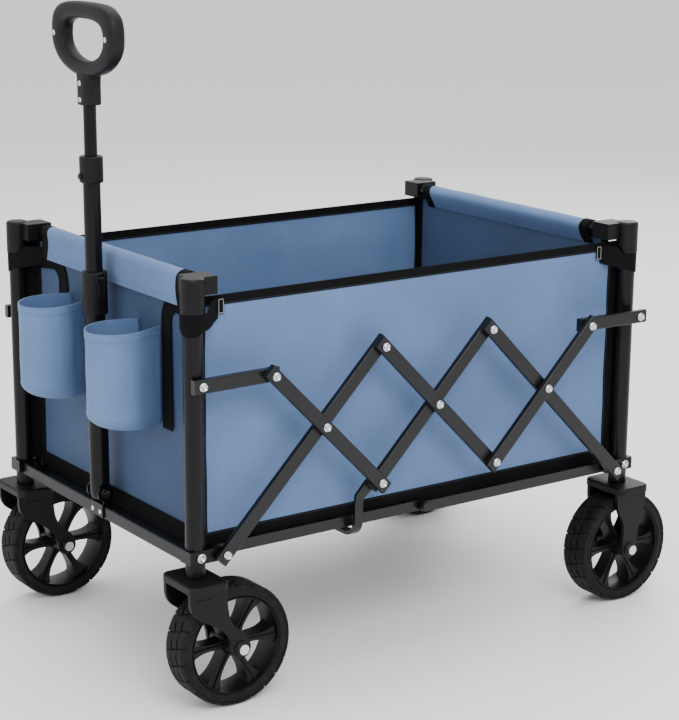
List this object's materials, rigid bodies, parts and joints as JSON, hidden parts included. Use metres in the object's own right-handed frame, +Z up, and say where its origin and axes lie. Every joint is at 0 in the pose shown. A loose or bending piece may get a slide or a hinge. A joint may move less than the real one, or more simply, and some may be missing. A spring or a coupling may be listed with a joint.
{
  "type": "collapsible beach cart",
  "caption": "Folding beach cart: a fabric tub hung in a black tube frame on scissor bars, with swivelling front wheels, a telescoping pull handle and bottle pockets.",
  "frame": {"origin": "on the ground, under the middle of the whole cart", "axes": "+Z up, -X towards the handle end, +X towards the rear, left is -Y"},
  "size_m": [0.9486, 0.622, 0.962],
  "materials": {
    "frame_tube": "black powder coat, satin",
    "bar_metal": "black powder coat, satin",
    "plastic": "fine moulded texture",
    "rim_plastic": "moulded, satin",
    "grip_plastic": "fine moulded texture",
    "tread_rubber": "matt, moulded tread",
    "rivet_zinc": "bright zinc",
    "blue_fabric": "coated polyester weave"
  },
  "bodies": {
    "rear_frame": {"rear_left_post": "frame_tube", "rear_right_post": "frame_tube", "rear_post_caps": "plastic", "rear_top_tube": "frame_tube", "rear_bottom_tube": "frame_tube", "rear_pivot_brackets": "frame_tube", "rear_wall": "blue_fabric", "rear_frame_bolts": "rivet_zinc", "rear_fixed_forks": "plastic", "rear_axles": "rivet_zinc", "left_side_panel": "blue_fabric", "right_side_panel": "blue_fabric", "floor_panel": "blue_fabric"},
    "front_frame": {"front_left_post": "frame_tube", "front_right_post": "frame_tube", "front_post_caps": "plastic", "front_top_tube": "frame_tube", "front_bottom_tube": "frame_tube", "front_pivot_brackets": "frame_tube", "front_wall": "blue_fabric", "front_frame_bolts": "rivet_zinc", "bottle_pockets": "blue_fabric", "handle_bracket": "frame_tube"},
    "bars_a": {"scissor_bars_a": "bar_metal", "scissor_rivets_a": "rivet_zinc"},
    "bars_b": {"scissor_bars_b": "bar_metal", "scissor_rivets_b": "rivet_zinc"},
    "bars_c": {"scissor_bars_c": "bar_metal", "scissor_rivets_c": "rivet_zinc"},
    "bars_d": {"scissor_bars_d": "bar_metal"},
    "bars_e": {"scissor_bars_e": "bar_metal", "scissor_rivets_e": "rivet_zinc"},
    "bars_f": {"scissor_bars_f": "bar_metal", "scissor_rivets_f": "rivet_zinc"},
    "front_links": {"front_links": "bar_metal"},
    "rear_links": {"rear_links": "bar_metal"},
    "front_floor_rails": {"front_floor_rails": "bar_metal"},
    "rear_floor_rails": {"rear_floor_rails": "bar_metal"},
    "floor_bow": {"floor_bow": "bar_metal"},
    "handle": {"handle_lower_tube": "frame_tube", "handle_lower_clamp": "plastic"},
    "clamp_lever": {"clamp_lever": "plastic"},
    "handle_middle": {"handle_middle_tube": "frame_tube", "handle_upper_collar": "plastic"},
    "release_button": {"release_button": "plastic"},
    "grip": {"handle_inner_tube": "frame_tube", "grip_front_half": "grip_plastic", "grip_back_half": "grip_plastic"},
    "front_left_caster": {"front_left_caster_fork": "plastic", "front_left_axle": "rivet_zinc"},
    "front_left_wheel": {"front_left_tyre": "tread_rubber", "front_left_rim": "rim_plastic"},
    "rear_left_wheel": {"rear_left_tyre": "tread_rubber", "rear_left_rim": "rim_plastic"},
    "front_right_caster": {"front_right_caster_fork": "plastic", "front_right_axle": "rivet_zinc"},
    "front_right_wheel": {"front_right_tyre": "tread_rubber", "front_right_rim": "rim_plastic"},
    "rear_right_wheel": {"rear_right_tyre": "tread_rubber", "rear_right_rim": "rim_plastic"}
  },
  "joints": [
    {"name": "fold", "type": "hinge", "parent": "rear_frame", "child": "bars_e", "pos_m": [0.34927, 0, 0.226], "axis": [0, 1, 0], "range_deg": [0, 34.5], "deforming": ["left_side_panel", "right_side_panel", "floor_panel"]},
    {"name": "pivot_ef", "type": "hinge", "parent": "bars_e", "child": "bars_f", "pos_m": [0.19101, 0, 0.38593], "axis": [0, -1, 0], "range_deg": [0, 69]},
    {"name": "pivot_de", "type": "hinge", "parent": "bars_e", "child": "bars_d", "pos_m": [0.09007, 0, 0.48793], "axis": [0, -1, 0], "range_deg": [0, 69]},
    {"name": "pivot_cf", "type": "hinge", "parent": "bars_f", "child": "bars_c", "pos_m": [0.09324, 0, 0.28713], "axis": [0, 1, 0], "range_deg": [0, 69]},
    {"name": "pivot_bd", "type": "hinge", "parent": "bars_d", "child": "bars_b", "pos_m": [-0.10864, 0, 0.28713], "axis": [0, 1, 0], "range_deg": [0, 69]},
    {"name": "pivot_ab", "type": "hinge", "parent": "bars_b", "child": "bars_a", "pos_m": [-0.20641, 0, 0.38593], "axis": [0, -1, 0], "range_deg": [0, 69]},
    {"name": "pivot_front_foot", "type": "hinge", "parent": "bars_a", "child": "front_frame", "pos_m": [-0.36467, 0, 0.226], "axis": [0, 1, 0], "range_deg": [0, 34.5]},
    {"name": "pivot_bow", "type": "hinge", "parent": "bars_b", "child": "floor_bow", "pos_m": [-0.10864, 0, 0.28713], "axis": [0, -1, 0], "range_deg": [0, 34.5]},
    {"name": "pivot_rear_link", "type": "hinge", "parent": "rear_frame", "child": "rear_links", "pos_m": [0.3853, 0, 0.47019], "axis": [0, 1, 0], "range_deg": [0, 59.66]},
    {"name": "pivot_front_link", "type": "hinge", "parent": "front_frame", "child": "front_links", "pos_m": [-0.4007, 0, 0.47019], "axis": [0, -1, 0], "range_deg": [0, 59.66]},
    {"name": "pivot_rear_rail", "type": "hinge", "parent": "rear_frame", "child": "rear_floor_rails", "pos_m": [0.34927, 0, 0.226], "axis": [0, 1, 0], "range_deg": [0, 75.42]},
    {"name": "pivot_front_rail", "type": "hinge", "parent": "front_frame", "child": "front_floor_rails", "pos_m": [-0.36467, 0, 0.226], "axis": [0, -1, 0], "range_deg": [0, 75.42]},
    {"name": "handle_pivot", "type": "hinge", "parent": "front_frame", "child": "handle", "pos_m": [-0.4067, 0, 0.251], "axis": [0, -1, 0], "range_deg": [0, 95]},
    {"name": "middle_tube_slide", "type": "slide", "parent": "handle", "child": "handle_middle", "axis": [-0.0035, 0, 1], "range_m": [-0.125, 0.095]},
    {"name": "grip_tube_slide", "type": "slide", "parent": "handle_middle", "child": "grip", "axis": [-0.0035, 0, 1], "range_m": [-0.07, 0.165]},
    {"name": "release_button_press", "type": "slide", "parent": "handle_middle", "child": "release_button", "axis": [1, 0, 0.0035], "range_m": [0, 0.003], "stiffness_N_per_m": 600, "springref_m": -0.001},
    {"name": "clamp_lever_turn", "type": "hinge", "parent": "handle", "child": "clamp_lever", "pos_m": [-0.40782, -0.0215, 0.573], "axis": [1, 0, 0.0035], "range_deg": [-80, 0]},
    {"name": "front_left_swivel", "type": "hinge", "parent": "front_frame", "child": "front_left_caster", "pos_m": [-0.4007, -0.26, 0.195], "axis": [0, 0, 1], "continuous": true},
    {"name": "front_left_wheel_spin", "type": "hinge", "parent": "front_left_caster", "child": "front_left_wheel", "pos_m": [-0.3487, -0.26, 0.089], "axis": [0, 1, 0], "continuous": true},
    {"name": "rear_left_wheel_spin", "type": "hinge", "parent": "rear_frame", "child": "rear_left_wheel", "pos_m": [0.3853, -0.26, 0.089], "axis": [0, 1, 0], "continuous": true},
    {"name": "front_right_swivel", "type": "hinge", "parent": "front_frame", "child": "front_right_caster", "pos_m": [-0.4007, 0.26, 0.195], "axis": [0, 0, 1], "continuous": true},
    {"name": "front_right_wheel_spin", "type": "hinge", "parent": "front_right_caster", "child": "front_right_wheel", "pos_m": [-0.3487, 0.26, 0.089], "axis": [0, 1, 0], "continuous": true},
    {"name": "rear_right_wheel_spin", "type": "hinge", "parent": "rear_frame", "child": "rear_right_wheel", "pos_m": [0.3853, 0.26, 0.089], "axis": [0, 1, 0], "continuous": true}
  ],
  "couplings": [
    {"joint": "pivot_ef", "follows": "fold", "ratio": 2},
    {"joint": "pivot_de", "follows": "fold", "ratio": 2},
    {"joint": "pivot_cf", "follows": "fold", "ratio": 2},
    {"joint": "pivot_bd", "follows": "fold", "ratio": 2},
    {"joint": "pivot_ab", "follows": "fold", "ratio": 2},
    {"joint": "pivot_front_foot", "follows": "fold", "ratio": 1},
    {"joint": "pivot_bow", "follows": "fold", "ratio": 1},
    {"joint": "pivot_rear_link", "follows": "fold", "ratio": 1.7292},
    {"joint": "pivot_front_link", "follows": "fold", "ratio": 1.7292},
    {"joint": "pivot_rear_rail", "follows": "fold", "ratio": 2.186},
    {"joint": "pivot_front_rail", "follows": "fold", "ratio": 2.186}
  ]
}
